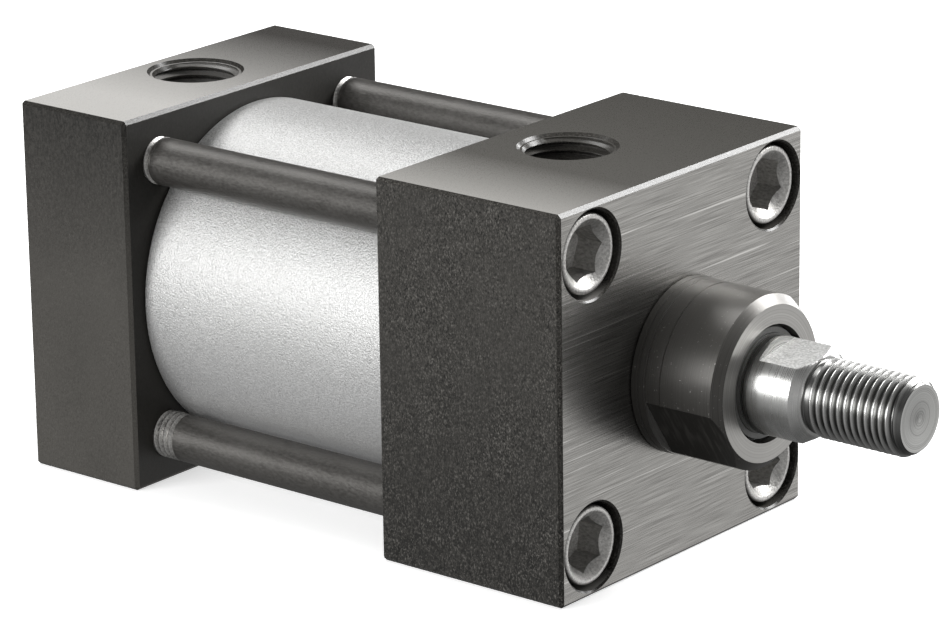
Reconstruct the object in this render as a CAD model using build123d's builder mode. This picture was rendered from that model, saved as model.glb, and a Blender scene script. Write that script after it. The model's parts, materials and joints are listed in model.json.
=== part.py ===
from build123d import *
from math import cos, pi
import os

# Pneumatic cylinder of the tie-bolt kind: 2 in bore, 5/8 in rod, 1 in stroke.
# Frame: the rod slides along X and comes out towards +X, +Z is up and both ports face up.
# Origin: centre of the head's front face, on the rod's axis.
# The rod is drawn fully in, with the piston's rear bumper close to the cap.

os.makedirs("parts", exist_ok=True)

inch = 25.4

# ---- Driving dimensions, in millimetres ----
block_side = 2.5 * inch  # square of the head and the cap
bore = 2.0 * inch
tube_outer = 2.25 * inch
rod_diameter = 0.625 * inch
stroke = 1.0 * inch
head_length = 36.5
tube_length = 53.0
cap_length = 23.5
bolt_spacing = 47.3  # between the centres of neighbouring tie bolts
bolt_diameter = 0.3125 * inch
gland_diameter = 28.5  # collar that fits a stranger's pilot bore
gland_front_diameter = 28.1
gland_thread_diameter = 27.8
rod_reach = 1.0 * inch  # from the head's face to the rod's shoulder, rod drawn in
rod_thread_diameter = 0.5 * inch
rod_thread_length = 0.75 * inch
port_diameter = 15.4  # mouth of the 3/8 in pipe thread
head_port_setback = 23.0  # from the head's front face to its port
cap_port_setback = 13.2  # from the cap's front face to its port

# ---- Fits ----
running_gap = 0.05  # radial, between a piece that slides and the piece that guides it
spigot_gap = 0.1  # radial, between a block's spigot and the tube
stop_gap = 0.05  # left at both ends of the stroke

# ---- Blocks ----
edge_break = 0.6
spigot_length = 6.0
tube_end_bevel = 0.4
head_cavity_diameter = 23.0
cap_cavity_diameter = 25.4
cap_wall = 5.0  # rear wall behind the cap's cavity
port_depth = 13.0
port_chamfer = 0.5
drilling_diameter = 9.0  # passage from a port to the cavity below it
counterbore_diameter = 14.35
counterbore_depth = 8.6
counterbore_chamfer = 0.3
bolt_hole_diameter = 8.4
tapped_hole_bevel = 0.4

# ---- Tapped mounting holes in the bottom, two in each block ----
mount_hole_diameter = 0.3125 * inch
mount_hole_depth = 11.0
mount_spacing_x = 3.25 * inch
mount_spacing_y = 0.9375 * inch
mount_front_x = -18.5

# ---- Places along X and Z ----
head_back = -head_length
cap_front = head_back - tube_length
cap_back = cap_front - cap_length
head_stop = head_back - spigot_length
cap_stop = cap_front + spigot_length
block_top = block_side / 2

# ---- Static seals between the blocks and the tube ----
tube_seal_width = 2.8
tube_seal_height = 2.2
tube_seal_setback = 3.2  # from the block's face to the middle of the seal
ring_rounding = 0.4  # of a round seal's corners, as a share of its height

# ---- Gland ----
gland_front = 16.6
gland_bevel_start = 15.2
gland_face_diameter = 25.2
gland_mouth_diameter = 19.0
gland_collar_end = 2.8  # the spanner flats start here
gland_collar_bevel = 0.25
gland_flat_distance = 1.0 * inch
gland_flat_angle = 34.0  # of the flats' normal, from +Y towards +Z
# middle of each fine turned line, and the radius of the surface it is cut in
gland_lines = ((1.5, gland_diameter / 2), (5.6, gland_front_diameter / 2))
gland_line_width = 0.25
gland_line_depth = 0.12
gland_back = -16.0
gland_step = -11.0
gland_pilot_diameter = 25.2
gland_seal_middle = -13.5
gland_seal_width = 2.3
gland_seal_height = 1.6
gland_back_bevel = 0.5
gland_rod_gap = 0.3  # radial, where the rod passes the gland's own metal

# ---- Inside the gland ----
bush_wall = 1.6
bush_back = -15.0
bush_front = 1.5
bush_bevel = 0.3
rod_seal_middle = 6.0
rod_seal_width = 5.2
rod_seal_height = 3.4
wiper_back = 10.8
wiper_shoulder = 14.2
wiper_front = 15.8
wiper_height = 3.2
wiper_lip_height = 1.15
wiper_lip_slope = 0.25  # how much thinner the lip gets towards its front
wiper_back_relief = 0.5  # radial, where the wiper's back opens away from the rod
wiper_relief_length = 1.5

# ---- Piston ----
bumper_stand = 0.8  # how far a bumper stands out of the piston's face
bumper_seat = 1.0  # how deep it sits in the face
bumper_inner_diameter = 29.0
bumper_outer_diameter = 39.0
piston_back = cap_stop + stop_gap + bumper_stand
piston_front = head_stop - stroke - stop_gap - bumper_stand
piston_diameter = bore - 0.4  # the wear band and the seals run on the bore, not the piston
piston_seal_width = 3.2
piston_seal_height = 3.6
piston_seal_setback = 2.7  # from the piston's face to the middle of the seal
wear_band_width = 2.8
wear_band_height = 1.5
rod_seat_depth = 1.5  # the rod's rear shoulder sits this deep in the piston
rod_ring_width = 2.2
rod_ring_height = 1.5
seal_rounding = 0.5
seal_side_gap = 0.05  # between a piston seal and each side of its groove
piston_edge_bevel = 0.4
bumper_rounding = 0.3
# a lip seal's groove: depth as a share of its width, half widths as shares of its height
lip_groove_depth = 0.45
lip_mouth_half = 0.27
lip_root_half = 0.1

# ---- Piston rod and its nut ----
rod_flat_distance = 0.5 * inch
rod_flat_back = 18.4
rod_flat_angle = 98.0  # of the flats' normal, from +Y towards +Z
rod_shoulder_diameter = 13.3
rod_shoulder_bevel = 1.3
rod_neck_diameter = 11.6
rod_neck_end = 28.2
rod_neck_ramp = 0.4  # length of the slope from the neck up to the thread
rod_tip_diameter = 10.6
rod_tip_bevel = 1.25
nut_across_flats = 0.75 * inch
nut_height = 8.0
nut_face_step = 0.3  # how far inside the flats each face's bevel starts
nut_bevel_slope = 0.45
rod_tail = 2.0  # thread that stands out behind the nut
rod_tail_bevel = 0.8

# ---- Tie bolts ----
bolt_head_diameter = 12.8
bolt_head_sink = 0.7  # from the head's front face down to the bolt's head
bolt_head_bevel = 0.4
bolt_lead_in_diameter = 11.0
bolt_lead_in_depth = 1.4
bolt_socket_across = 8.0
bolt_socket_depth = 5.4
bolt_socket_overlap = 0.1  # how far the lead-in's root sinks inside the socket's flats
bolt_end_depth = 2.0  # from the cap's rear face in to the bolt's end
bolt_end_bevel = 0.7
thread_pitch = inch / 24
thread_depth = 0.55
thread_groove_half = 0.42  # half a groove's width as a share of the pitch
thread_clear = 0.01  # how far a groove's outline stands out of the shank
# name, side in Y, side in Z, thread in view in front of the cap, turn of the socket in degrees
tie_bolts = (
    ("upper_left", -1, 1, 1.6, 8.0),
    ("lower_left", -1, -1, 4.4, 22.0),
    ("upper_right", 1, 1, 1.6, 40.0),
    ("lower_right", 1, -1, 1.6, 51.0),
)

rod_radius = rod_diameter / 2
bore_radius = bore / 2
gland_radius = gland_diameter / 2
rod_end = rod_reach + rod_thread_length


def turn(*outline, mode=Mode.ADD):
    """Turn a closed outline of (place along X, radius) points about the rod's axis."""
    with BuildSketch(Plane.XY) as section:
        with BuildLine():
            Polyline(*outline, close=True)
        make_face()
    revolve(section.sketch, axis=Axis.X, mode=mode)


def turn_ring(middle, width, inner, outer, mode=Mode.ADD, rounding=0):
    """Turn a ring about the rod's axis, with rounded corners on its section if asked."""
    with BuildSketch(Plane.XY) as section:
        with Locations((middle, (inner + outer) / 2)):
            Rectangle(width, outer - inner)
        if rounding:
            fillet(section.vertices(), radius=rounding)
    revolve(section.sketch, axis=Axis.X, mode=mode)


def sink_round(plane, places, diameter, depth):
    """Sink round holes of one size into the part from a plane, against its normal."""
    with BuildSketch(plane) as mouths:
        with Locations(*places):
            Circle(diameter / 2)
    extrude(mouths.sketch, amount=-depth, mode=Mode.SUBTRACT)


def sink_bevel(plane, places, diameter, size):
    """Bevel the mouths of round holes that open on a plane."""
    with BuildSketch(plane) as mouths:
        with Locations(*places):
            Circle(diameter / 2 + size)
    extrude(mouths.sketch, amount=-size, taper=45, mode=Mode.SUBTRACT)


def block(front, back, port_x, cavity_reach):
    """Square block with broken edges, a port in its top and the drilling to its cavity."""
    with BuildSketch(Plane.YZ.offset(back)) as square:
        Rectangle(block_side, block_side)
    solid = extrude(square.sketch, amount=front - back)
    chamfer(solid.edges(), length=edge_break)
    top = Plane.XY.offset(block_top)
    sink_round(top, [(port_x, 0)], port_diameter, port_depth)
    sink_bevel(top, [(port_x, 0)], port_diameter, port_chamfer)
    sink_round(top, [(port_x, 0)], drilling_diameter, block_top - cavity_reach)


def mounting_holes(hole_x):
    """Two blind tapped holes side by side in a block's bottom face."""
    bottom = Plane(origin=(0, 0, -block_top), x_dir=(1, 0, 0), z_dir=(0, 0, -1))
    places = [(hole_x, side * mount_spacing_y / 2) for side in (-1, 1)]
    sink_round(bottom, places, mount_hole_diameter, mount_hole_depth)
    sink_bevel(bottom, places, mount_hole_diameter, tapped_hole_bevel)


def spigot(face, tip, cavity_radius):
    """Spigot that centres the tube on a block, with the groove of its seal."""
    outward = 1 if tip > face else -1
    radius = bore_radius - spigot_gap
    turn(
        (face - outward, cavity_radius),
        (face - outward, radius),
        (tip - outward * edge_break, radius),
        (tip, radius - edge_break),
        (tip, cavity_radius),
    )
    turn_ring(
        face + outward * tube_seal_setback,
        tube_seal_width,
        bore_radius - tube_seal_height,
        bore_radius,
        Mode.SUBTRACT,
    )


def export(piece, name):
    """Label a finished piece and write it as one STEP file."""
    piece.label = name
    export_step(piece, f"parts/{name}.step")


bolt_offset = bolt_spacing / 2
bolt_places = [(side_y * bolt_offset, side_z * bolt_offset) for _, side_y, side_z, _, _ in tie_bolts]

# ---- Head: front block with the front port, the gland's hole and the bolts' counterbores ----
with BuildPart() as head:
    block(0, head_back, -head_port_setback, 0)
    spigot(head_back, head_stop, head_cavity_diameter / 2)
    turn(
        (0, 0),
        (0, gland_thread_diameter / 2),
        (gland_step, gland_thread_diameter / 2),
        (gland_step, gland_pilot_diameter / 2),
        (gland_back, gland_pilot_diameter / 2),
        (gland_back, head_cavity_diameter / 2),
        (head_stop, head_cavity_diameter / 2),
        (head_stop, 0),
        mode=Mode.SUBTRACT,
    )
    sink_round(Plane.YZ, bolt_places, counterbore_diameter, counterbore_depth)
    sink_bevel(Plane.YZ, bolt_places, counterbore_diameter, counterbore_chamfer)
    sink_round(Plane.YZ, bolt_places, bolt_hole_diameter, head_length)
    mounting_holes(mount_front_x)
export(head.part, "head")

# ---- Cap: rear block with the rear port, the nut's cavity and the bolts' tapped holes ----
with BuildPart() as cap:
    block(cap_front, cap_back, cap_front - cap_port_setback, 0)
    spigot(cap_front, cap_stop, cap_cavity_diameter / 2)
    turn_ring(
        (cap_stop + cap_back + cap_wall) / 2,
        cap_stop - cap_back - cap_wall,
        0,
        cap_cavity_diameter / 2,
        Mode.SUBTRACT,
    )
    sink_round(Plane.YZ.offset(cap_front), bolt_places, bolt_diameter, cap_length)
    rear = Plane(origin=(cap_back, 0, 0), x_dir=(0, 1, 0), z_dir=(-1, 0, 0))
    rear_places = [(y, -z) for y, z in bolt_places]
    sink_bevel(rear, rear_places, bolt_diameter, tapped_hole_bevel)
    mounting_holes(mount_front_x - mount_spacing_x)
export(cap.part, "cap")

# ---- Tube: plain barrel, its ends beveled outside and inside ----
with BuildPart() as tube:
    turn_ring((head_back + cap_front) / 2, tube_length, bore_radius, tube_outer / 2)
    chamfer(edges().filter_by(GeomType.CIRCLE), length=tube_end_bevel)
export(tube.part, "tube")

# ---- Seals between the blocks and the tube ----
seal_places = {
    "head_tube_seal": head_back - tube_seal_setback,
    "cap_tube_seal": cap_front + tube_seal_setback,
}
for name, middle in seal_places.items():
    with BuildPart() as tube_seal:
        turn_ring(
            middle,
            tube_seal_width,
            bore_radius - tube_seal_height,
            bore_radius,
            rounding=tube_seal_height * ring_rounding,
        )
    export(tube_seal.part, name)

# ---- Gland: screwed into the head, with two spanner flats outside ----
bush_outer_radius = rod_radius + running_gap + bush_wall
gland_bore_radius = rod_radius + gland_rod_gap
with BuildPart() as gland:
    turn(
        (gland_back, gland_bore_radius),
        (gland_back, gland_pilot_diameter / 2 - gland_back_bevel),
        (gland_back + gland_back_bevel, gland_pilot_diameter / 2),
        (gland_step, gland_pilot_diameter / 2),
        (gland_step, gland_thread_diameter / 2 - gland_back_bevel),
        (gland_step + gland_back_bevel, gland_thread_diameter / 2),
        (0, gland_thread_diameter / 2),
        (0, gland_radius - gland_collar_bevel),
        (gland_collar_bevel, gland_radius),
        (gland_collar_end, gland_radius),
        (gland_collar_end, gland_front_diameter / 2),
        (gland_bevel_start, gland_front_diameter / 2),
        (gland_front, gland_face_diameter / 2),
        (gland_front, gland_bore_radius),
    )
    turn_ring(
        gland_seal_middle,
        gland_seal_width,
        gland_pilot_diameter / 2 - gland_seal_height,
        gland_pilot_diameter / 2,
        Mode.SUBTRACT,
    )
    for middle, surface_radius in gland_lines:
        turn_ring(
            middle,
            gland_line_width,
            surface_radius - gland_line_depth,
            surface_radius + gland_line_depth,
            Mode.SUBTRACT,
        )
    turn_ring(
        (bush_back + bush_front) / 2,
        bush_front - bush_back,
        0,
        bush_outer_radius,
        Mode.SUBTRACT,
    )
    turn_ring(
        rod_seal_middle,
        rod_seal_width,
        0,
        rod_radius + running_gap + rod_seal_height,
        Mode.SUBTRACT,
    )
    turn_ring(
        (wiper_back + wiper_shoulder) / 2,
        wiper_shoulder - wiper_back,
        0,
        rod_radius + running_gap + wiper_height,
        Mode.SUBTRACT,
    )
    turn_ring(
        (wiper_shoulder + gland_front) / 2,
        gland_front - wiper_shoulder,
        0,
        gland_mouth_diameter / 2,
        Mode.SUBTRACT,
    )
    for side in (0, 180):
        with BuildSketch(Plane.YZ.offset(gland_collar_end)):
            with Locations(Rotation(0, 0, gland_flat_angle + side)):
                with Locations((gland_flat_distance / 2 + gland_radius / 2, 0)):
                    Rectangle(gland_radius, 2 * gland_radius)
        extrude(amount=gland_front, mode=Mode.SUBTRACT)
export(gland.part, "gland")

with BuildPart() as gland_o_ring:
    turn_ring(
        gland_seal_middle,
        gland_seal_width,
        gland_pilot_diameter / 2 - gland_seal_height,
        gland_pilot_diameter / 2,
        rounding=gland_seal_height * ring_rounding,
    )
export(gland_o_ring.part, "gland_o_ring")

# ---- Bush, seal and wiper that the rod slides in ----
slide_radius = rod_radius + running_gap
with BuildPart() as rod_bush:
    turn_ring(
        (bush_back + bush_front) / 2,
        bush_front - bush_back,
        slide_radius,
        bush_outer_radius,
    )
    chamfer(edges().filter_by(GeomType.CIRCLE), length=bush_bevel)
export(rod_bush.part, "rod_bush")


def lip_seal(middle, width, inner, outer, open_side):
    """U-shaped seal: a ring with a groove between its two lips, open towards +X or -X."""
    turn_ring(middle, width, inner, outer, rounding=seal_rounding)
    mouth = middle + open_side * width / 2
    root = mouth - open_side * width * lip_groove_depth
    height = outer - inner
    centre = (inner + outer) / 2
    turn(
        (mouth, centre - height * lip_mouth_half),
        (mouth, centre + height * lip_mouth_half),
        (root, centre + height * lip_root_half),
        (root, centre - height * lip_root_half),
        mode=Mode.SUBTRACT,
    )


with BuildPart() as rod_seal:
    lip_seal(rod_seal_middle, rod_seal_width, slide_radius, slide_radius + rod_seal_height, -1)
export(rod_seal.part, "rod_seal")

with BuildPart() as rod_wiper:
    turn(
        (wiper_back, slide_radius + wiper_back_relief),
        (wiper_back, slide_radius + wiper_height),
        (wiper_shoulder, slide_radius + wiper_height),
        (wiper_shoulder, slide_radius + wiper_lip_height),
        (wiper_front, slide_radius + wiper_lip_height - wiper_lip_slope),
        (wiper_front, slide_radius),
        (wiper_back + wiper_relief_length, slide_radius),
    )
export(rod_wiper.part, "rod_wiper")

# ---- Piston: fixed on the rod's rear end, with grooves for its seals and wear band ----
piston_middle = (piston_front + piston_back) / 2
piston_radius = piston_diameter / 2
rod_seat = piston_front - rod_seat_depth
thread_radius = rod_thread_diameter / 2
seal_outer_radius = bore_radius - running_gap
front_seal_middle = piston_front - piston_seal_setback
rear_seal_middle = piston_back + piston_seal_setback
bumper_radii = (bumper_inner_diameter / 2, bumper_outer_diameter / 2)
with BuildPart() as piston:
    turn(
        (piston_back, thread_radius),
        (piston_back, piston_radius - piston_edge_bevel),
        (piston_back + piston_edge_bevel, piston_radius),
        (piston_front - piston_edge_bevel, piston_radius),
        (piston_front, piston_radius - piston_edge_bevel),
        (piston_front, rod_radius),
        (rod_seat, rod_radius),
        (rod_seat, thread_radius),
    )
    for middle, width, height in (
        (front_seal_middle, piston_seal_width, piston_seal_height),
        (rear_seal_middle, piston_seal_width, piston_seal_height),
        (piston_middle, wear_band_width, wear_band_height),
    ):
        turn_ring(
            middle,
            width + 2 * seal_side_gap,
            seal_outer_radius - height - running_gap,
            bore_radius,
            Mode.SUBTRACT,
        )
    for seat in (piston_front - bumper_seat / 2, piston_back + bumper_seat / 2):
        turn_ring(seat, bumper_seat, *bumper_radii, Mode.SUBTRACT)
    turn_ring(piston_middle, rod_ring_width, 0, thread_radius + rod_ring_height, Mode.SUBTRACT)
export(piston.part, "piston")

for name, middle, open_side in (
    ("front_piston_seal", front_seal_middle, 1),
    ("rear_piston_seal", rear_seal_middle, -1),
):
    with BuildPart() as piston_seal:
        lip_seal(
            middle,
            piston_seal_width,
            seal_outer_radius - piston_seal_height,
            seal_outer_radius,
            open_side,
        )
    export(piston_seal.part, name)

with BuildPart() as wear_band:
    turn_ring(
        piston_middle,
        wear_band_width,
        seal_outer_radius - wear_band_height,
        seal_outer_radius,
    )
export(wear_band.part, "wear_band")

with BuildPart() as rod_o_ring:
    turn_ring(
        piston_middle,
        rod_ring_width,
        thread_radius,
        thread_radius + rod_ring_height,
        rounding=rod_ring_height * ring_rounding,
    )
export(rod_o_ring.part, "rod_o_ring")

for name, face, outward in (("front_bumper", piston_front, 1), ("rear_bumper", piston_back, -1)):
    with BuildPart() as bumper:
        turn_ring(
            face + outward * (bumper_stand - bumper_seat) / 2,
            bumper_stand + bumper_seat,
            *bumper_radii,
            rounding=bumper_rounding,
        )
    export(bumper.part, name)

# ---- Piston rod: wrench flats and thread in front, the piston's seat and thread behind ----
nut_front = piston_back
nut_back = nut_front - nut_height
rod_tail_end = nut_back - rod_tail
with BuildPart() as piston_rod:
    turn(
        (rod_tail_end, 0),
        (rod_tail_end, thread_radius - rod_tail_bevel),
        (rod_tail_end + rod_tail_bevel, thread_radius),
        (rod_seat, thread_radius),
        (rod_seat, rod_radius),
        (rod_reach, rod_radius),
        (rod_reach + rod_shoulder_bevel, rod_shoulder_diameter / 2),
        (rod_reach + rod_shoulder_bevel, rod_neck_diameter / 2),
        (rod_neck_end - rod_neck_ramp, rod_neck_diameter / 2),
        (rod_neck_end, thread_radius),
        (rod_end - rod_tip_bevel, thread_radius),
        (rod_end, rod_tip_diameter / 2),
        (rod_end, 0),
    )
    for side in (0, 180):
        with BuildSketch(Plane.YZ.offset(rod_flat_back)):
            with Locations(Rotation(0, 0, rod_flat_angle + side)):
                with Locations((rod_flat_distance / 2 + rod_radius / 2, 0)):
                    Rectangle(rod_radius, 2 * rod_radius)
        extrude(amount=rod_reach + rod_shoulder_bevel - rod_flat_back, mode=Mode.SUBTRACT)
export(piston_rod.part, "piston_rod")

# ---- Piston nut: hexagon with both faces beveled ----
nut_corner_radius = nut_across_flats / 2 / cos(pi / 6)
with BuildPart() as piston_nut:
    with BuildSketch(Plane.YZ.offset(nut_back)):
        RegularPolygon(nut_across_flats / 2, 6, major_radius=False)
    extrude(amount=nut_height)
    nut_face_radius = nut_across_flats / 2 - nut_face_step
    rise = nut_bevel_slope * (nut_corner_radius - nut_face_radius)
    turn(
        (nut_back, 0),
        (nut_back, nut_face_radius),
        (nut_back + rise, nut_corner_radius),
        (nut_front - rise, nut_corner_radius),
        (nut_front, nut_face_radius),
        (nut_front, 0),
        mode=Mode.INTERSECT,
    )
    turn_ring((nut_front + nut_back) / 2, nut_height, 0, thread_radius, Mode.SUBTRACT)
export(piston_nut.part, "piston_nut")

# ---- Tie bolts: socket heads sunk in the head, shanks beside the tube, threads in the cap ----
head_face = -bolt_head_sink
head_seat = -counterbore_depth
bolt_end = cap_back + bolt_end_depth
shank_radius = bolt_diameter / 2
groove_half = thread_groove_half * thread_pitch
for name, side_y, side_z, thread_in_view, socket_turn in tie_bolts:
    axis_plane = Plane(origin=(0, side_y * bolt_offset, side_z * bolt_offset), z_dir=(0, 0, 1))
    bolt_axis = Axis(axis_plane.origin, (1, 0, 0))
    thread_start = cap_front + thread_in_view
    crests = int((thread_start - bolt_end - bolt_end_bevel) / thread_pitch)
    with BuildPart() as tie_bolt:
        with BuildSketch(axis_plane):
            with BuildLine():
                Polyline(
                    (bolt_end, 0),
                    (bolt_end, shank_radius - bolt_end_bevel),
                    (bolt_end + bolt_end_bevel, shank_radius),
                    (head_seat, shank_radius),
                    (head_seat, bolt_head_diameter / 2),
                    (head_face - bolt_head_bevel, bolt_head_diameter / 2),
                    (head_face, bolt_head_diameter / 2 - bolt_head_bevel),
                    (head_face, bolt_lead_in_diameter / 2),
                    (head_face - bolt_lead_in_depth, bolt_socket_across / 2 - bolt_socket_overlap),
                    (head_face - bolt_lead_in_depth, 0),
                    close=True,
                )
            make_face()
        revolve(axis=bolt_axis)
        with BuildSketch(Plane.YZ.offset(head_face)):
            with Locations((side_y * bolt_offset, side_z * bolt_offset)):
                RegularPolygon(
                    bolt_socket_across / 2, 6, major_radius=False, rotation=socket_turn
                )
        extrude(amount=-bolt_socket_depth, mode=Mode.SUBTRACT)
        with BuildSketch(axis_plane):
            for turn_number in range(crests):
                groove_x = thread_start - turn_number * thread_pitch
                with BuildLine():
                    Polyline(
                        (groove_x - groove_half, shank_radius + thread_clear),
                        (groove_x, shank_radius - thread_depth),
                        (groove_x + groove_half, shank_radius + thread_clear),
                        close=True,
                    )
                make_face()
        revolve(axis=bolt_axis, mode=Mode.SUBTRACT)
    export(tie_bolt.part, f"tie_bolt_{name}")
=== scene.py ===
import json
import math

import bmesh
import bpy
from mathutils import Matrix, Vector


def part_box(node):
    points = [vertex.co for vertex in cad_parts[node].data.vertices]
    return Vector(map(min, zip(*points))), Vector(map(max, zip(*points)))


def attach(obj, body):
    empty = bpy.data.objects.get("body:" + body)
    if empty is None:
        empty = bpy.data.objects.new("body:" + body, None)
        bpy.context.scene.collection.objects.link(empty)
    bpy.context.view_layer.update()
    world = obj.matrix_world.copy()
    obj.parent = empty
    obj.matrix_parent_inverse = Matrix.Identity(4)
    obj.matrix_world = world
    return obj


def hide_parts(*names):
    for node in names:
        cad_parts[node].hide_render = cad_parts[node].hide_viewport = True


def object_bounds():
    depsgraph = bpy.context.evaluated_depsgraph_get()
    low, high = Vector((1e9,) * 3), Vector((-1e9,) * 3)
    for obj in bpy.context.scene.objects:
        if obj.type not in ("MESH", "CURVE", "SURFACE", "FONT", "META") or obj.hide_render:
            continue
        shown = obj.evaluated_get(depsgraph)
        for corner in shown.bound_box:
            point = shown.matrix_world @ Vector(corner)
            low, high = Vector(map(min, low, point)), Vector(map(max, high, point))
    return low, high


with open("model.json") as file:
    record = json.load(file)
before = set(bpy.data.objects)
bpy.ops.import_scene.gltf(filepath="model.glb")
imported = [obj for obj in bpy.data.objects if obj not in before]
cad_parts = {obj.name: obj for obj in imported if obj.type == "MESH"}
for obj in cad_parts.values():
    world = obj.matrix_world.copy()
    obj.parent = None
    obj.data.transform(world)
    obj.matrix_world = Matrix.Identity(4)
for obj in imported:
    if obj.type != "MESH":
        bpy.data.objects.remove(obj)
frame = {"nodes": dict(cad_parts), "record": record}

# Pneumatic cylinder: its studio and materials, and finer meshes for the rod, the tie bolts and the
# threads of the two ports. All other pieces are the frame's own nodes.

cad_low, cad_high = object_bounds()

# ---- sizes that the frame's boxes and mounts don't give, in metres ----
MM = 0.001
INCH = 0.0254
Z_AXIS = Vector((0, 0, 1))

ROD_SHOULDER = INCH  # place along X where the rod narrows towards its thread
ROD_SHOULDER_BEVEL = 1.3 * MM
ROD_FLATS_END = ROD_SHOULDER + ROD_SHOULDER_BEVEL
ROD_FLAT_BACK = 18.4 * MM
ROD_FLAT_ANGLE = math.radians(98)  # of the flats' normal, from +Y towards +Z
ROD_FLAT_DISTANCE = INCH / 4  # from the axis to each flat
ROD_NECK_RADIUS = 5.8 * MM
GROOVE_DARK, GROOVE_CLEAR = 5.80 * MM, 6.32 * MM  # radii between which the thread's shade fades

GLAND_FLAT_ANGLE = math.radians(34)  # of the flats' normal, from +Y towards +Z
GLAND_FLAT_BACK = 2.8 * MM

BOLT_OFFSET = 23.65 * MM  # of each tie bolt's axis from the rod's, in Y and in Z
COUNTERBORE_DEPTH = 8.6 * MM
SOCKET_REACH = 4.75 * MM  # a radius just outside the hexagon's corners
SOCKET_BACK = -8 * MM  # a place behind the sockets and in front of the counterbores' floor

FLAT_TOLERANCE = 0.02 * MM  # a point this near a wrench flat counts as lying on it

# ---- places read from the frame, in metres ----
head_low, head_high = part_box("head")
rod_low, rod_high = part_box("piston_rod")
block_side = head_high.z - head_low.z
block_top = head_high.z
cap_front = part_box("tube")[0].x
piston_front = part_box("piston")[1].x
mounts = {mount["name"]: mount for mount in frame["record"]["mounts"]}


# ---- camera, at the photograph's viewing angle ----
def make_camera():
    azimuth, elevation, roll = math.radians(39.341), math.radians(17.763), math.radians(-0.825)
    back = Vector((
        math.sin(azimuth) * math.cos(elevation),
        -math.cos(azimuth) * math.cos(elevation),
        math.sin(elevation),
    ))
    right = Z_AXIS.cross(back).normalized()
    up = back.cross(right)
    right, up = (
        math.cos(roll) * right + math.sin(roll) * up,
        math.cos(roll) * up - math.sin(roll) * right,
    )
    distance, across, above = 11.598, 0.520, -0.113  # in sides of the square block
    place = (distance * back - across * right - above * up) * block_side
    camera = bpy.data.objects.new("camera", bpy.data.cameras.new("camera"))
    bpy.context.scene.collection.objects.link(camera)
    camera.matrix_world = Matrix.Translation(place) @ Matrix((right, up, back)).transposed().to_4x4()
    camera.data.sensor_width = 36
    camera.data.lens = 177.29
    camera.data.clip_start = 0.01
    camera.data.clip_end = 50
    bpy.context.scene.camera = camera


# ---- light, floor and world ----
def area_light(name, place, target, size, power):
    data = bpy.data.lights.new(name, "AREA")
    data.shape = "RECTANGLE"
    data.size, data.size_y = size
    data.energy = power
    lamp = bpy.data.objects.new(name, data)
    bpy.context.scene.collection.objects.link(lamp)
    lamp.location = place
    lamp.rotation_mode = "QUATERNION"
    lamp.rotation_quaternion = (Vector(target) - Vector(place)).to_track_quat("-Z", "Y")
    lamp.visible_camera = False


# Brightness of the studio by height of the direction, from straight down (-1) to straight up (1)
SKY = (
    (-1.0, 0.10), (-0.75, 0.20), (-0.45, 0.38), (-0.2, 0.48), (0.15, 0.60),
    (0.38, 0.36), (0.52, 0.10), (0.75, 0.28), (1.0, 0.32),
)
BACKDROP_DIRECTION = (-0.60, 0.77, 0.20)  # the dark end of the studio, behind the object
FRONT_FILL_DIRECTION = (0.62, 0.72, -0.30)  # its bright end, low in front of the rod


def map_range(tree, value, limits, results):
    """A value stretched from one pair of limits to another, and held at both ends."""
    spread = tree.nodes.new("ShaderNodeMapRange")
    tree.links.new(value, spread.inputs["Value"])
    for name, number in zip(("From Min", "From Max", "To Min", "To Max"), (*limits, *results)):
        spread.inputs[name].default_value = number
    return spread.outputs["Result"]


def make_world():
    world = bpy.data.worlds.new("studio")
    bpy.context.scene.world = world
    world.use_nodes = True
    tree = world.node_tree
    direction = tree.nodes.new("ShaderNodeTexCoord").outputs["Generated"]

    def toward(aim, limits, results):
        """A strength that changes with how nearly a direction points along the aim."""
        product = tree.nodes.new("ShaderNodeVectorMath")
        product.operation = "DOT_PRODUCT"
        tree.links.new(direction, product.inputs[0])
        product.inputs[1].default_value = aim
        return map_range(tree, product.outputs["Value"], limits, results)

    split = tree.nodes.new("ShaderNodeSeparateXYZ")
    tree.links.new(direction, split.inputs["Vector"])
    ramp = tree.nodes.new("ShaderNodeValToRGB")
    tree.links.new(map_range(tree, split.outputs["Z"], (-1, 1), (0, 1)), ramp.inputs["Fac"])
    for _ in SKY[2:]:  # a new ramp has two stops already
        ramp.color_ramp.elements.new(0.5)
    for element, (upward, light) in zip(ramp.color_ramp.elements, SKY):
        element.position = (upward + 1) / 2
        element.color = (light, light, light, 1)
    total = tree.nodes.new("ShaderNodeMath")
    total.operation = "ADD"
    tree.links.new(toward(BACKDROP_DIRECTION, (0.45, 0.85), (1.0, 0.12)), total.inputs[0])
    tree.links.new(toward(FRONT_FILL_DIRECTION, (0.84, 0.99), (0.0, 2.0)), total.inputs[1])
    background = tree.nodes["Background"]
    tree.links.new(ramp.outputs["Color"], background.inputs["Color"])
    tree.links.new(total.outputs["Value"], background.inputs["Strength"])


FLOOR_REACH = 6.0
FLOOR_GAP = 0.02 * MM  # keeps the floor out of the plane of the blocks' undersides
LAMPS = (
    # name, place, target, size, power in watts
    ("key_right", (0.22, 0.55, 0.44), (-0.01, 0, 0), (0.32, 0.32), 7),
    ("side_right", (-0.06, 0.80, 0.10), (0.0, 0, 0), (0.4, 0.25), 2.6),
    ("soft_left", (-0.35, -0.80, 0.25), (-0.06, 0, 0), (0.6, 0.4), 6),
    ("over_rear", (-0.55, 0.10, 0.70), (-0.05, 0, 0), (0.4, 0.4), 3),
)


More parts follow.
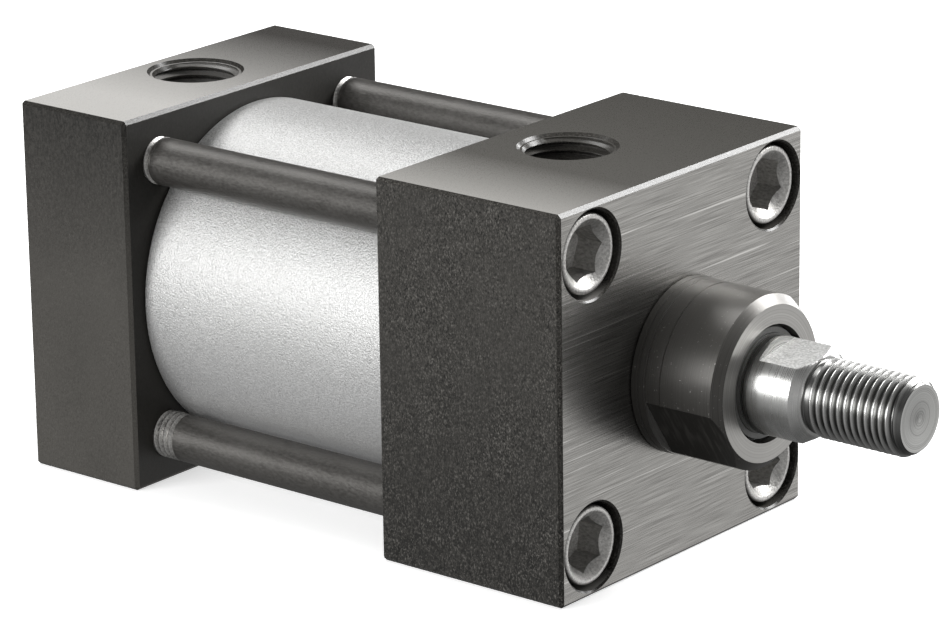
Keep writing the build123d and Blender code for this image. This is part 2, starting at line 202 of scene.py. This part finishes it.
def make_stage():
    mesh = bpy.data.meshes.new("floor")
    corners = [(FLOOR_REACH * x, FLOOR_REACH * y, 0) for x, y in ((-1, -1), (1, -1), (1, 1), (-1, 1))]
    mesh.from_pydata(corners, [], [(0, 1, 2, 3)])
    floor = bpy.data.objects.new("floor", mesh)
    floor.location = (0, 0, cad_low.z - FLOOR_GAP)
    floor.visible_diffuse = False
    floor.visible_glossy = False
    floor.visible_shadow = False
    bpy.context.scene.collection.objects.link(floor)
    paper = bpy.data.materials.new("paper")
    paper.use_nodes = True
    shader = paper.node_tree.nodes["Principled BSDF"]
    shader.inputs["Base Color"].default_value = (0.9, 0.9, 0.9, 1)
    shader.inputs["Roughness"].default_value = 0.9
    shader.inputs["Emission Color"].default_value = (1, 1, 1, 1)
    shader.inputs["Emission Strength"].default_value = 0.60
    mesh.materials.append(paper)
    for lamp in LAMPS:
        area_light(*lamp)
    bpy.context.scene.view_settings.view_transform = "Standard"


# ---- material nodes ----
class Surface:
    """A Principled material with short ways to add procedural detail in metres of the row frame."""

    def __init__(self, name, color, metallic, roughness, specular=0.5):
        self.material = bpy.data.materials.new(name)
        self.material.use_nodes = True
        self.tree = self.material.node_tree
        self.shader = self.tree.nodes["Principled BSDF"]
        self.shader.inputs["Base Color"].default_value = (*color, 1)
        self.shader.inputs["Metallic"].default_value = metallic
        self.shader.inputs["Roughness"].default_value = roughness
        self.shader.inputs["Specular IOR Level"].default_value = specular
        self.place = self.node("ShaderNodeTexCoord").outputs["Object"]
        self.bump_from = None

    def node(self, kind, **settings):
        made = self.tree.nodes.new(kind)
        for key, value in settings.items():
            setattr(made, key, value)
        return made

    def join(self, source, target):
        self.tree.links.new(source, target)

    def axes(self):
        """The place's three coordinates, as outputs named X, Y and Z."""
        split = self.node("ShaderNodeSeparateXYZ")
        self.join(self.place, split.inputs["Vector"])
        return split.outputs

    def along(self, vector, aim):
        """How far a vector reaches along the aim, to either side."""
        product = self.node("ShaderNodeVectorMath", operation="DOT_PRODUCT")
        self.join(vector, product.inputs[0])
        product.inputs[1].default_value = aim
        return self.math("ABSOLUTE", product.outputs["Value"], 0)

    def stretched(self, scale, turn=(0, 0, 0)):
        mapping = self.node("ShaderNodeMapping")
        self.join(self.place, mapping.inputs["Vector"])
        mapping.inputs["Scale"].default_value = scale
        mapping.inputs["Rotation"].default_value = turn
        return mapping.outputs["Vector"]

    def noise(self, vector, scale, detail, roughness):
        texture = self.node("ShaderNodeTexNoise")
        self.join(vector, texture.inputs["Vector"])
        texture.inputs["Scale"].default_value = scale
        texture.inputs["Detail"].default_value = detail
        texture.inputs["Roughness"].default_value = roughness
        return texture.outputs["Fac"]

    def spread(self, value, low, high, to_low=0.0, to_high=1.0):
        """Stretch value from low..high to to_low..to_high, held at both ends."""
        return map_range(self.tree, value, (low, high), (to_low, to_high))

    def math(self, operation, first, second):
        made = self.node("ShaderNodeMath", operation=operation)
        for socket, value in zip(made.inputs, (first, second)):
            if isinstance(value, (int, float)):
                socket.default_value = value
            else:
                self.join(value, socket)
        return made.outputs["Value"]

    def mix(self, factor, first, second):
        """Blend two colours, each a node's output or three numbers."""
        mixer = self.node("ShaderNodeMix", data_type="RGBA")
        self.join(factor, mixer.inputs["Factor"])
        for socket, value in ((mixer.inputs["A"], first), (mixer.inputs["B"], second)):
            if isinstance(value, tuple):
                socket.default_value = (*value, 1)
            else:
                self.join(value, socket)
        return mixer.outputs["Result"]

    def color(self, output):
        self.join(output, self.shader.inputs["Base Color"])

    def roughness(self, output):
        self.join(output, self.shader.inputs["Roughness"])

    def metallic(self, output):
        self.join(output, self.shader.inputs["Metallic"])

    def bump(self, height, depth):
        """Add relief of the given depth in metres."""
        bump = self.node("ShaderNodeBump")
        bump.inputs["Strength"].default_value = 1.0
        bump.inputs["Distance"].default_value = depth
        self.join(height, bump.inputs["Height"])
        if self.bump_from:
            self.join(self.bump_from, bump.inputs["Normal"])
        self.bump_from = bump.outputs["Normal"]
        self.join(self.bump_from, self.shader.inputs["Normal"])

    def facing(self, axis, oblique=0.75, square=0.95):
        """How squarely the surface faces along an axis, 0 to 1."""
        split = self.node("ShaderNodeSeparateXYZ")
        self.join(self.node("ShaderNodeNewGeometry").outputs["Normal"], split.inputs["Vector"])
        return self.spread(self.math("ABSOLUTE", split.outputs[axis], 0), oblique, square)


def black_steel():
    """Blackened steel: speckled sides with painted light and shade by height, milled streaks across the
    head's front, painted shade on its other faces along X, and tops without speckle that carry a
    painted reflection across them.
    """
    s = Surface("black_steel", (0.05, 0.05, 0.045), 0.0, 0.45, 0.25)
    place = s.axes()
    at_head = s.spread(place["X"], -0.075, -0.055)
    at_face = s.math("GREATER_THAN", place["X"], -1 * MM)
    front, top, side = s.facing("X"), s.facing("Z"), s.facing("Y")
    faces = s.math("MAXIMUM", s.math("MAXIMUM", front, top), side)
    milled_face = s.math("MULTIPLY", front, at_face)
    cloud = s.spread(s.noise(s.stretched((1, 1, 0.5)), 60, 4, 0.6), 0.3, 0.7)
    grain = s.spread(s.noise(s.stretched((1, 1, 0.55)), 2600, 2, 0.6), 0.35, 0.65)
    streak = s.spread(s.noise(s.stretched((1, 0.014, 1)), 5600, 3, 0.6), 0.28, 0.72)
    scratch = s.spread(s.noise(s.stretched((1, 0.010, 1), (0.06, 0, 0)), 1900, 2, 0.5), 0.64, 0.70)
    rust = s.noise(s.stretched((1, 1, 0.65)), 3600, 2, 0.7)
    crowded = s.spread(s.noise(s.place, 110, 3, 0.6), 0.35, 0.65, 0.45, 1.0)
    crowded = s.math("MULTIPLY", crowded, s.spread(at_head, 0, 1, 0.25, 1.0))
    speck = s.math("MULTIPLY", s.spread(rust, 0.54, 0.72), crowded)
    pits = s.math("MULTIPLY", s.spread(rust, 0.34, 0.46, 1.0, 0.0), crowded)
    height = place["Z"]
    # painted light and shade: the cap's sides are painted lighter low down and darker high up, the
    # head's sides darker low down and lighter high up
    cap_painted_shading = s.mix(s.spread(height, 0.002, 0.030), (0.076, 0.0715, 0.0640), (0.014, 0.0132, 0.0116))
    head_painted_shading = s.mix(s.spread(height, -0.030, 0.015), (0.009, 0.0085, 0.0075), (0.038, 0.0357, 0.0317))
    base = s.mix(at_head, cap_painted_shading, head_painted_shading)
    base = s.mix(s.math("MULTIPLY", cloud, 0.35), base, (0.015, 0.014, 0.012))
    base = s.mix(s.math("MULTIPLY", grain, 0.4), base, (0.075, 0.071, 0.064))
    base = s.mix(speck, base, (0.15, 0.143, 0.131))
    # painted shade: the faces along X that are not milled, such as the cap's face towards the tube, are
    # painted darker
    base = s.mix(s.math("MULTIPLY", front, 0.75), base, (0.020, 0.019, 0.017))
    milled = s.mix(streak, (0.13, 0.126, 0.119), (0.35, 0.343, 0.328))
    milled = s.mix(s.math("MULTIPLY", scratch, 0.6), milled, (0.60, 0.59, 0.57))
    across = place["Y"]
    # painted reflection: the tops of the head and the cap are painted light on the -Y side, fading dark
    # towards +Y
    head_top_painted_reflection = s.mix(s.spread(across, -0.036, -0.012), (0.42, 0.41, 0.39), (0.080, 0.077, 0.070))
    head_top_painted_reflection = s.mix(s.spread(across, -0.012, 0.030), head_top_painted_reflection, (0.046, 0.044, 0.039))
    cap_top_painted_reflection = s.mix(s.spread(across, -0.020, 0.026), (0.52, 0.51, 0.49), (0.034, 0.032, 0.029))
    tops_grain_and_painted_reflection = s.mix(at_head, cap_top_painted_reflection, head_top_painted_reflection)
    fine = s.spread(s.noise(s.place, 5600, 1, 0.5), 0.3, 0.7)
    tops_grain_and_painted_reflection = s.mix(s.math("MULTIPLY", fine, 0.12), tops_grain_and_painted_reflection, (0.30, 0.29, 0.275))
    base = s.mix(milled_face, base, milled)
    base = s.mix(top, base, tops_grain_and_painted_reflection)
    plain = s.math("SUBTRACT", 1.0, milled_face)
    plain = s.math("SUBTRACT", plain, top)
    s.color(s.mix(s.math("MULTIPLY", pits, plain), base, (0.006, 0.006, 0.005)))
    s.metallic(s.math("MULTIPLY", milled_face, 0.97))
    rough = s.math("SUBTRACT", s.spread(fine, 0, 1, 0.52, 0.60), s.math("MULTIPLY", top, 0.26))
    rough = s.math("SUBTRACT", rough, s.math("MULTIPLY", milled_face, 0.26))
    s.roughness(s.math("SUBTRACT", rough, s.spread(faces, 0, 1, 0.31, 0)))
    s.bump(s.math("MULTIPLY", grain, side), 0.00003)
    s.bump(s.math("MULTIPLY", streak, milled_face), 0.000004)
    s.bump(s.math("MULTIPLY", pits, side), 0.00003)
    return s.material


def black_gland():
    """Turned and blackened gland: fine rings round the axis, a little wear, painted light towards its
    top and painted shade on its spanner flats.
    """
    s = Surface("gland_black", (0.05, 0.05, 0.05), 0.45, 0.34)
    rings = s.noise(ring_place(s, 5200), 1.0, 3, 0.6)
    cloud = s.spread(s.noise(s.place, 90, 4, 0.6), 0.3, 0.7)
    fleck = s.spread(s.noise(s.place, 1700, 3, 0.7), 0.66, 0.72)
    base = s.mix(s.spread(rings, 0.3, 0.7), (0.042, 0.040, 0.036), (0.085, 0.082, 0.077))
    base = s.mix(s.math("MULTIPLY", cloud, 0.4), base, (0.05, 0.047, 0.043))
    # painted light: the gland is painted lighter towards its top
    gland_painted_top_light = s.spread(s.axes()["Z"], 5 * MM, 18 * MM)
    base = s.mix(s.math("MULTIPLY", gland_painted_top_light, 0.7), base, (0.22, 0.213, 0.20))
    front = s.facing("X")
    turned_front = s.mix(s.spread(rings, 0.3, 0.7), (0.24, 0.235, 0.225), (0.36, 0.353, 0.34))
    base = s.mix(front, base, turned_front)
    base = s.mix(s.math("MULTIPLY", fleck, 0.7), base, (0.4, 0.39, 0.37))
    # painted shade: the spanner flats are painted dark; their cutter streaks are milling marks
    cutter = s.spread(s.noise(s.stretched((1, 0.15, 0.15)), 1500, 1, 0.5), 0.5, 0.7)
    milled = s.mix(cutter, (0.020, 0.019, 0.017), (0.050, 0.048, 0.044))
    s.color(s.mix(gland_flat_mask(s), base, milled))
    s.metallic(s.spread(front, 0, 1, 0.45, 0.85))
    s.roughness(s.spread(rings, 0.3, 0.7, 0.30, 0.42))
    s.bump(rings, 0.000006)
    return s.material


def gland_flat_mask(s):
    """1 on the gland's two spanner flats, 0 elsewhere."""
    aim = (0, math.cos(GLAND_FLAT_ANGLE), math.sin(GLAND_FLAT_ANGLE))
    normal = s.node("ShaderNodeNewGeometry").outputs["Normal"]
    on_flat = s.math("GREATER_THAN", s.along(normal, aim), 0.997)
    in_front = s.math("GREATER_THAN", s.axes()["X"], GLAND_FLAT_BACK + 0.05 * MM)
    return s.math("MULTIPLY", on_flat, in_front)


def distance_from_axis(s):
    """The distance of a point from the rod's axis."""
    across = s.node("ShaderNodeVectorMath", operation="LENGTH")
    s.join(s.stretched((0, 1, 1)), across.inputs["Vector"])
    return across.outputs["Value"]


def ring_place(s, scale):
    """Coordinates that change only along X and with the distance from the rod's axis."""
    place = s.axes()
    made = s.node("ShaderNodeCombineXYZ")
    s.join(s.math("MULTIPLY", place["X"], scale), made.inputs["X"])
    s.join(s.math("MULTIPLY", distance_from_axis(s), scale), made.inputs["Y"])
    return made.outputs["Vector"]


def bright_tube():
    """Satin metal with a fine sparkling grain, and painted light on its lower part."""
    s = Surface("bright_tube", (0.8, 0.8, 0.79), 0.7, 0.5)
    grain = s.noise(s.place, 3300, 2, 0.7)
    fine = s.noise(s.place, 5200, 1, 0.5)
    tone = s.mix(s.spread(grain, 0.35, 0.65), (0.36, 0.36, 0.355), (0.64, 0.64, 0.63))
    tone = s.mix(s.math("MULTIPLY", s.spread(fine, 0.35, 0.65), 0.4), tone, (0.82, 0.82, 0.82))
    # painted light: the tube is painted lighter towards its bottom
    tube_painted_lower_light = s.spread(s.axes()["Z"], -20 * MM, 4 * MM, 0.6, 0.0)
    s.color(s.mix(tube_painted_lower_light, tone, (0.95, 0.95, 0.95)))
    s.roughness(s.spread(grain, 0.3, 0.7, 0.40, 0.58))
    s.bump(grain, 0.00010)
    return s.material


def polished_rod():
    """Ground and polished rod, with faint turning rings and painted shade in the roots of its thread.
    """
    s = Surface("polished_rod", (0.75, 0.75, 0.74), 1.0, 0.2)
    rings = s.noise(ring_place(s, 6000), 1.0, 3, 0.6)
    cloud = s.spread(s.noise(s.place, 300, 3, 0.6), 0.35, 0.65)
    milled = rod_flat_mask(s)
    grain = s.spread(s.noise(s.place, 2400, 3, 0.65), 0.35, 0.65)
    base = s.mix(cloud, (0.50, 0.50, 0.49), (0.64, 0.64, 0.63))
    base = s.mix(s.spread(rings, 0.35, 0.65, 0.0, 0.35), base, (0.36, 0.36, 0.35))
    # painted shade: the roots of the rod's thread are painted dark, fading out towards the crests
    depth = s.spread(distance_from_axis(s), GROOVE_DARK, GROOVE_CLEAR, 1.0, 0.0)
    groove_painted_shade = s.math("MULTIPLY", depth, s.math("GREATER_THAN", s.axes()["X"], ROD_FLATS_END))
    end = s.facing("X", 0.90, 0.97)
    base = s.mix(s.math("MULTIPLY", groove_painted_shade, 0.80), base, (0.06, 0.06, 0.058))
    turned_end = s.mix(s.spread(rings, 0.35, 0.65), (0.17, 0.17, 0.165), (0.36, 0.36, 0.35))
    base = s.mix(end, base, turned_end)
    s.color(s.mix(milled, base, s.mix(grain, (0.50, 0.50, 0.49), (0.82, 0.82, 0.81))))
    turned = s.spread(rings, 0.3, 0.7, 0.23, 0.35)
    s.roughness(s.math("MAXIMUM", turned, s.math("MULTIPLY", milled, 0.55)))
    s.bump(rings, 0.000004)
    s.bump(s.math("MULTIPLY", grain, milled), 0.00003)
    return s.material


def rod_flat_mask(s):
    """1 on the rod's two wrench flats, 0 elsewhere."""
    aim = (0, math.cos(ROD_FLAT_ANGLE), math.sin(ROD_FLAT_ANGLE))
    on_flat = s.math("GREATER_THAN", s.along(s.place, aim), ROD_FLAT_DISTANCE - FLAT_TOLERANCE)
    place = s.axes()
    past_back = s.math("GREATER_THAN", place["X"], ROD_FLAT_BACK)
    before_end = s.math("LESS_THAN", place["X"], ROD_FLATS_END)
    return s.math("MULTIPLY", on_flat, s.math("MULTIPLY", past_back, before_end))


def bolt_steel():
    """Dark oxide steel of the tie bolts, with a fine drawn grain."""
    s = Surface("bolt_steel", (0.07, 0.07, 0.065), 0.5, 0.4)
    grain = s.spread(s.noise(s.stretched((0.5, 1, 1)), 2600, 3, 0.65), 0.32, 0.68)
    cloud = s.spread(s.noise(s.place, 110, 4, 0.6), 0.3, 0.7)
    base = s.mix(grain, (0.045, 0.042, 0.038), (0.095, 0.091, 0.085))
    base = s.mix(s.math("MULTIPLY", cloud, 0.35), base, (0.13, 0.125, 0.118))
    front = s.math("MAXIMUM", s.facing("X", 0.25, 0.9), s.math("MULTIPLY", socket_mask(s), 0.8))
    s.color(s.mix(front, base, s.mix(grain, (0.34, 0.333, 0.32), (0.70, 0.69, 0.67))))
    s.metallic(s.spread(front, 0, 1, 0.5, 0.9))
    s.roughness(s.spread(grain, 0, 1, 0.36, 0.50))
    s.bump(grain, 0.00002)
    return s.material


def socket_mask(s):
    """1 inside the hexagon sockets of the tie bolts, 0 elsewhere."""
    place = s.axes()
    away = [
        s.math("SUBTRACT", s.math("ABSOLUTE", place[axis], 0), BOLT_OFFSET)
        for axis in ("Y", "Z")
    ]
    squares = s.math("ADD", *(s.math("MULTIPLY", side, side) for side in away))
    inside = s.math("LESS_THAN", squares, SOCKET_REACH ** 2)
    return s.math("MULTIPLY", inside, s.math("GREATER_THAN", place["X"], SOCKET_BACK))


def plain_metal(name, dark, light, metallic, rough):
    """Machined metal of the inner pieces: turned rings."""
    s = Surface(name, light, metallic, rough)
    rings = s.noise(ring_place(s, 4000), 1.0, 3, 0.6)
    s.color(s.mix(s.spread(rings, 0.3, 0.7), dark, light))
    s.roughness(s.spread(rings, 0.3, 0.7, rough - 0.08, rough + 0.08))
    s.bump(rings, 0.000006)
    return s.material


def soft_polymer(name, dark, light, rough):
    """Moulded rubber or plastic with a fine matt grain."""
    s = Surface(name, light, 0.0, rough, 0.4)
    grain = s.noise(s.place, 1400, 3, 0.6)
    s.color(s.mix(s.spread(grain, 0.3, 0.7), dark, light))
    s.roughness(s.spread(grain, 0.3, 0.7, rough - 0.1, rough + 0.1))
    s.bump(grain, 0.00001)
    return s.material


# ---- mesh building ----
MERGE_DISTANCE = 1e-7
SHARP_ANGLE = math.radians(32)
ROD_STEPS = 240  # round the circle
STEPS = 96  # round the circle of the bolts and of the port threads


def ring_angles(count, turn=0.0, exact=()):
    """Even steps round the circle from turn, with the nearest step moved onto each exact angle."""
    angles = [turn + math.tau * step / count for step in range(count)]
    for wanted in exact:
        nearest = round((wanted - turn) % math.tau * count / math.tau) % count
        angles[nearest] = turn + (wanted - turn) % math.tau
    return angles


def turned_mesh(name, rows, angles, centre=(0, 0, 0), axis="X", caps=True):
    """A closed mesh round an axis: each row gives (place along the axis, radius) for an angle.

    With caps the first and last rows are closed off; without, the last row joins the first.
    Where the circle closes, a row of a helix meets the row that is one turn further on.
    """
    made = bmesh.new()
    grid = []
    for row in rows:
        ring = []
        for angle in angles:
            along, radius = row(angle)
            one, two = radius * math.cos(angle), radius * math.sin(angle)
            spot = (along, one, two) if axis == "X" else (one, two, along)
            ring.append(made.verts.new(Vector(spot) + Vector(centre)))
        grid.append(ring)
    closed = [
        ring + [grid[rows.index(getattr(row, "next_turn", row))][0]]
        for row, ring in zip(rows, grid)
    ]
    pairs = list(zip(closed, closed[1:]))
    if not caps:
        pairs.append((closed[-1], closed[0]))
    for ring, following in pairs:
        for step in range(len(angles)):
            made.faces.new((ring[step], ring[step + 1], following[step + 1], following[step]))
    if caps:
        for ring in (grid[0], grid[-1]):
            made.faces.new(ring)
    bmesh.ops.remove_doubles(made, verts=made.verts, dist=MERGE_DISTANCE)
    bmesh.ops.dissolve_degenerate(made, dist=MERGE_DISTANCE, edges=made.edges)
    bmesh.ops.recalc_face_normals(made, faces=made.faces)
    mesh = bpy.data.meshes.new(name)
    made.to_mesh(mesh)
    made.free()
    for face in mesh.polygons:
        face.use_smooth = True
    mesh.set_sharp_from_angle(angle=SHARP_ANGLE)
    piece = bpy.data.objects.new(name, mesh)
    bpy.context.scene.collection.objects.link(piece)
    return piece


def ring_row(along, radius):
    """A row that is a plain circle."""
    return lambda angle: (along, radius)


# Height of a 60 degree thread over one pitch, from -0.07 (start of a crest) to 0.60 (end of a root):
# (share of the pitch, share of the depth, measured inward from the crest)
THREAD_SHAPE = (
    (-0.07, 0.06), (-0.04, 0.0), (0.04, 0.0), (0.07, 0.06),
    (0.40, 0.97), (0.44, 1.0), (0.56, 1.0), (0.60, 0.97),
)


def thread_rows(start, end, pitch, depth_at, surface_at, limit_at):
    """Rows that follow a helix from start to end.

    surface_at, depth_at and limit_at read a place along the axis. The first and last turns of rows
    lie wholly at the start and at the end.
    """
    turns = math.ceil((end - start) / pitch) + 2
    rows = []
    for number in range(-1, turns):
        for share, drop in THREAD_SHAPE:
            def row(angle, base=start + (number + share) * pitch, drop=drop):
                along = min(max(base + pitch * angle / math.tau, start), end)
                if along in (start, end):
                    return along, limit_at(along, surface_at(along))
                return along, limit_at(along, surface_at(along) - drop * depth_at(along))
            rows.append(row)
    for row, following in zip(rows, rows[len(THREAD_SHAPE):]):
        row.next_turn = following
    return rows


# ---- piston rod, with its flats and a true thread ----
def make_rod():
    radius = (rod_high.z - rod_low.z) / 2
    thread_radius = INCH / 4
    pitch = INCH / 20
    thread = mounts["rod_end_thread"]
    thread_length = thread["dims"]["length_mm"] * MM
    neck_end = thread["pos_m"][0] - thread_length / 2
    tip = rod_high.x
    bevel = tip - neck_end - thread_length
    bevel_root_radius = 6.3 * MM
    tip_radius = 5.3 * MM
    rear_bevel = 0.8 * MM
    bevel_steps = 8
    thread_depth = 0.62 * pitch
    thread_start = neck_end - 0.4 * MM
    flat_edge = math.acos(ROD_FLAT_DISTANCE / radius)
    seat = piston_front - 1.5 * MM

    def flats(along, widest):
        def row(angle):
            away = abs(math.cos(angle - ROD_FLAT_ANGLE))
            return along, min(widest, ROD_FLAT_DISTANCE / max(away, 1e-6))
        return row

    def neck_limit(along, found):
        growing = ROD_NECK_RADIUS + (along - thread_start) * 1.4
        tapering = tip_radius + (tip - along) * (thread_radius - tip_radius) / bevel
        return min(found, growing, tapering)

    rows = [
        ring_row(rod_low.x, thread_radius - rear_bevel),
        ring_row(rod_low.x + rear_bevel, thread_radius),
        ring_row(seat, thread_radius),
        ring_row(seat, radius),
        ring_row(ROD_FLAT_BACK - 0.01 * MM, radius),
        flats(ROD_FLAT_BACK, radius),
    ]
    for step in range(bevel_steps + 1):
        share = step / bevel_steps
        widest = radius + share * (bevel_root_radius - radius)
        rows.append(flats(ROD_SHOULDER + share * ROD_SHOULDER_BEVEL, widest))
    rows += [
        ring_row(ROD_FLATS_END + 0.12 * MM, ROD_NECK_RADIUS + 0.1 * MM),
        ring_row(ROD_FLATS_END + 0.25 * MM, ROD_NECK_RADIUS),
        ring_row(thread_start - 0.01 * MM, ROD_NECK_RADIUS),
    ]
    rows += thread_rows(
        thread_start,
        tip,
        pitch,
        lambda along: thread_depth * min(1.0, (along - thread_start) / (0.6 * pitch)),
        lambda along: thread_radius,
        neck_limit,
    )
    rows += [
        ring_row(tip, 5.15 * MM),
        ring_row(tip - 0.05 * MM, 4.9 * MM),
        ring_row(tip - 0.05 * MM, 0.3 * MM),
        ring_row(tip - 0.12 * MM, 0.12 * MM),
    ]
    edges = [
        ROD_FLAT_ANGLE + side + edge
        for side in (0, math.pi)
        for edge in (-flat_edge, flat_edge)
    ]
    rod = turned_mesh("rod_threaded", rows, ring_angles(ROD_STEPS, exact=edges))
    rod.data.materials.append(MATERIALS["polished_rod"])
    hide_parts("piston_rod")
    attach(rod, "rod")


# ---- tie bolts, with hexagon sockets and true threads ----
BOLTS = {
    # name: (thread in view in front of the cap, turn of the socket in degrees)
    "upper_left": (1.6 * MM, 8),
    "lower_left": (4.4 * MM, 22),
    "upper_right": (1.6 * MM, 40),
    "lower_right": (1.6 * MM, 51),
}


def make_bolt(name, thread_in_view, socket_turn):
    low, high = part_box(f"tie_bolt_{name}")
    centre = (0, (low.y + high.y) / 2, (low.z + high.z) / 2)
    face, end = high.x, low.x
    head_radius = (high.y - low.y) / 2
    shank_radius = INCH * 5 / 32
    seat = -COUNTERBORE_DEPTH
    pitch = INCH / 24
    lead_in_radius = 5.5 * MM
    flat_distance = 4.0 * MM  # from the socket's axis to each of its six sides
    socket_depth = 5.4 * MM
    turn = math.radians(socket_turn)
    thread_start = cap_front + thread_in_view

    def hexagon(angle):
        part = (angle - turn) % (math.pi / 3) - math.pi / 6
        return flat_distance / math.cos(part)

    def mouth(angle):
        radius = hexagon(angle)
        return face - (lead_in_radius - radius) * 0.95, radius

    def depth_at(along):
        return 0.60 * pitch * min(1.0, max(0.0, (thread_start - along) / (0.8 * pitch)))

    def tip_limit(along, found):
        return min(found, shank_radius - 0.7 * MM + (along - end))

    rows = [ring_row(end, shank_radius * 0.4)]
    rows += thread_rows(end, thread_start, pitch, depth_at, lambda along: shank_radius, tip_limit)
    rows += [
        ring_row(seat - 0.35 * MM, shank_radius),
        ring_row(seat - 0.1 * MM, shank_radius + 0.08 * MM),
        ring_row(seat, shank_radius + 0.2 * MM),
        ring_row(seat, head_radius - 0.2 * MM),
        ring_row(seat + 0.2 * MM, head_radius),
        ring_row(face - 0.45 * MM, head_radius),
        ring_row(face - 0.2 * MM, head_radius - 0.08 * MM),
        ring_row(face - 0.05 * MM, head_radius - 0.25 * MM),
        ring_row(face, head_radius - 0.5 * MM),
        ring_row(face, lead_in_radius + 0.12 * MM),
        ring_row(face - 0.06 * MM, lead_in_radius - 0.02 * MM),
        mouth,
        lambda angle: (face - socket_depth, hexagon(angle)),
        lambda angle: (face - socket_depth - 0.05 * MM, hexagon(angle) * 0.93),
        ring_row(face - socket_depth - 0.9 * MM, 0.8 * MM),
    ]
    bolt = turned_mesh(f"bolt_{name}", rows, ring_angles(STEPS, turn), centre)
    bolt.data.materials.append(MATERIALS["bolt_steel"])
    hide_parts(f"tie_bolt_{name}")
    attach(bolt, "barrel")


# ---- taper threads in the two ports ----
def make_port_thread(mount_name, name):
    mount = mounts[mount_name]
    wall = mount["dims"]["r_mm"] * MM - 0.01 * MM
    length = mount["dims"]["length_mm"] * MM
    mouth = block_top - 0.5 * MM
    pitch = INCH / 18
    thread_depth = 0.7 * pitch

    def taper(along):
        return wall - 0.04 * MM - (mouth - along) / 32

    def countersink(along, found):
        return min(max(found, wall - 0.35 * MM - (mouth - along) * 1.1), wall - 0.02 * MM)

    bottom = mouth - length + 0.02 * MM
    rows = [ring_row(bottom, wall), ring_row(mouth, wall)]
    helix = thread_rows(
        bottom,
        mouth,
        pitch,
        lambda along: -thread_depth,
        lambda along: taper(along) - thread_depth,
        countersink,
    )
    rows += list(reversed(helix))
    centre = (mount["pos_m"][0], mount["pos_m"][1], 0)
    liner = turned_mesh(name, rows, ring_angles(STEPS), centre, axis="Z", caps=False)
    liner.data.materials.append(MATERIALS["black_steel"])
    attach(liner, "barrel")


# ---- the whole object ----
MATERIALS = {
    "black_steel": black_steel(),
    "black_gland": black_gland(),
    "bright_tube": bright_tube(),
    "polished_rod": polished_rod(),
    "bolt_steel": bolt_steel(),
    "piston_metal": plain_metal("piston_metal", (0.55, 0.55, 0.56), (0.75, 0.75, 0.76), 1.0, 0.35),
    "nut_steel": plain_metal("nut_steel", (0.35, 0.35, 0.34), (0.55, 0.54, 0.52), 1.0, 0.35),
    "bronze": plain_metal("bronze", (0.42, 0.26, 0.11), (0.60, 0.40, 0.19), 1.0, 0.35),
    "seal_rubber": soft_polymer("seal_rubber", (0.012, 0.012, 0.012), (0.030, 0.030, 0.030), 0.6),
    "wiper_grey": soft_polymer("wiper_grey", (0.10, 0.10, 0.095), (0.17, 0.17, 0.165), 0.5),
    "band_plastic": soft_polymer("band_plastic", (0.30, 0.17, 0.08), (0.45, 0.28, 0.14), 0.5),
}


def finish_cad_nodes():
    for part in frame["record"]["subparts"]:
        node = frame["nodes"][part["node"]]
        for holder in node.material_slots:
            holder.link = "OBJECT"
            holder.material = MATERIALS[part["material_slot"]]


make_camera()
make_world()
make_stage()
finish_cad_nodes()
make_rod()
for bolt_name, (in_view, hexagon_turn) in BOLTS.items():
    make_bolt(bolt_name, in_view, hexagon_turn)
make_port_thread("head_port", "head_port_thread")
make_port_thread("cap_port", "cap_port_thread")
